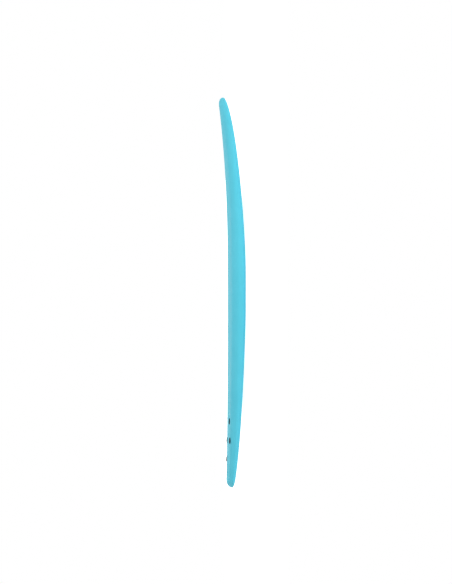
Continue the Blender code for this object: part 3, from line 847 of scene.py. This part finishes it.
pin_rod = joined_mesh("leash_pin", [cross_rod(LEASH_PIN_RADIUS, LEASH_CUP_RADIUS - CLEARANCE, PIN_EDGE)])
add_piece("drawn_leash_pin", pin_rod, drawn_steel(), "steel", "board", "leash_pin")


# Leash screw: a nylon screw with a slotted flange like the nuts', let in and driven up into the cup's boss.
# It clamps the cup down through the whole thickness of the board.

LEASH_SCREW_RECESS = 0.001


def leash_screw():
    """Slotted flange and plain shank, up to just short of the end of the boss's bore."""
    tip = (leash_mouth - leash_foot) @ leash_axis - LEASH_BOSS_FOOT + LEASH_THREAD_LENGTH - CLEARANCE
    face = flange_face(LEASH_SCREW_RECESS)
    shank = [(SHANK_RADIUS, LEASH_SCREW_RECESS + FLANGE_THICKNESS), (SHANK_RADIUS, tip), (0.0, tip)]
    spun = turned(softened(face + shank, MOULDED_EDGE), ROUND_SIDES)
    blank = joined_mesh("leash_screw", [on_axis(spun, leash_foot, leash_axis)])
    return slotted(blank, leash_foot, leash_axis, LEASH_SCREW_RECESS)


add_piece("slotted_leash_screw", leash_screw(), nylon, "nylon", "board", "leash_screw")


# Studio: a pale floor under the board and soft light from all round, strongest from the camera's side.
# The camera looks square at the starboard rail from just above it, turned so that the nose is up.

PHOTO_LONG_SIDE = 584
PHOTO_SCALE = 0.004694
FLOOR_PIXEL_RIGHT_OF_MIDDLE = 18.04
MID_LENGTH_PIXEL_BELOW_MIDDLE = 0.5
CAMERA_DISTANCE = 9.0
CAMERA_LIFT = radians(2.0)
FLOOR_SIZE = 7.0
FLOOR_WHITE = (0.86, 0.86, 0.86, 1.0)
FLOOR_GLOW = 0.41
FLOOR_GLOW_SEEN = 0.9
SKY_LIGHT = 0.61
LAMPS = {
    "lamp_beam": ((5.2, 2.5, 0.8), (0.0, 0.0, 0.0), 3.0, 100.0),
    "lamp_over": ((-0.3, 1.2, 5.0), (0.0, 0.3, 0.0), 4.0, 80.0),
    "lamp_far": ((-5.0, -1.5, 1.6), (0.0, 0.0, 0.0), 3.0, 40.0),
}


def seen_directly(tree):
    """One for rays from the camera, or straight off gloss or through glass, and otherwise nought."""
    path = add_node(tree, "ShaderNodeLightPath", {}).outputs
    inputs = {0: path["Is Camera Ray"], 1: path["Is Glossy Ray"]}
    either = add_node(tree, "ShaderNodeMath", inputs, operation="MAXIMUM").outputs[0]
    inputs = {0: either, 1: path["Is Transmission Ray"]}
    return add_node(tree, "ShaderNodeMath", inputs, operation="MAXIMUM").outputs[0]


def studio_floor():
    """A matte pale floor, lit a little from within, that lights the underside and keeps the shadow."""
    mesh = bpy.data.meshes.new("floor")
    corners = np.array([[-1, -1, 0], [1, -1, 0], [1, 1, 0], [-1, 1, 0]]) * FLOOR_SIZE / 2
    mesh.from_pydata(corners.tolist(), [], [(0, 1, 2, 3)])
    finish, tree, shader, place = new_finish("floor_paint", {"Roughness": 1.0, "Specular IOR Level": 0.0})
    shader.inputs["Base Color"].default_value = FLOOR_WHITE
    shader.inputs["Emission Color"].default_value = (1.0, 1.0, 1.0, 1.0)
    glow = ranged(tree, seen_directly(tree), 0.0, 1.0, FLOOR_GLOW, FLOOR_GLOW_SEEN)
    feed(tree, shader, "Emission Strength", glow)
    mesh.materials.append(finish)
    floor = bpy.data.objects.new("floor", mesh)
    bpy.context.scene.collection.objects.link(floor)


def studio_sky():
    """White all round where it is seen, and a lower even light on the board."""
    world = bpy.data.worlds.new("studio")
    world.use_nodes = True
    tree = world.node_tree
    strength = ranged(tree, seen_directly(tree), 0.0, 1.0, SKY_LIGHT, 1.0)
    sky = tree.nodes["Background"]
    sky.inputs["Color"].default_value = (1.0, 1.0, 1.0, 1.0)
    tree.links.new(strength, sky.inputs["Strength"])
    bpy.context.scene.world = world


def soft_lamp(name, place, target, size, power):
    """A square area lamp that faces its target."""
    lamp = bpy.data.lights.new(name, "AREA")
    lamp.size, lamp.energy = size, power
    holder = bpy.data.objects.new(name, lamp)
    holder.location = place
    holder.rotation_euler = (Vector(target) - Vector(place)).to_track_quat("-Z", "Y").to_euler()
    bpy.context.scene.collection.objects.link(holder)


def studio_camera():
    """Looks along -X and a little down, +Y up and the deck to the left, to the scale of the middle."""
    eye = bpy.data.cameras.new("camera")
    eye.sensor_width = 36.0
    eye.lens = eye.sensor_width * CAMERA_DISTANCE / (PHOTO_SCALE * PHOTO_LONG_SIDE)
    eye.shift_x = -FLOOR_PIXEL_RIGHT_OF_MIDDLE / PHOTO_LONG_SIDE
    eye.clip_end = 100.0
    holder = bpy.data.objects.new("camera", eye)
    level, rise = cos(CAMERA_LIFT), sin(CAMERA_LIFT)
    turn = Matrix(((rise, 0, level), (0, 1, 0), (-level, 0, rise))).to_4x4()
    centre = (CAMERA_DISTANCE * level, MID_LENGTH_PIXEL_BELOW_MIDDLE * PHOTO_SCALE, CAMERA_DISTANCE * rise)
    holder.matrix_world = Matrix.Translation(centre) @ turn
    bpy.context.scene.collection.objects.link(holder)
    bpy.context.scene.camera = holder


studio_floor()
studio_sky()
for name, (place, target, size, power) in LAMPS.items():
    soft_lamp(name, place, target, size, power)
studio_camera()
bpy.context.scene.view_settings.view_transform = "Standard"
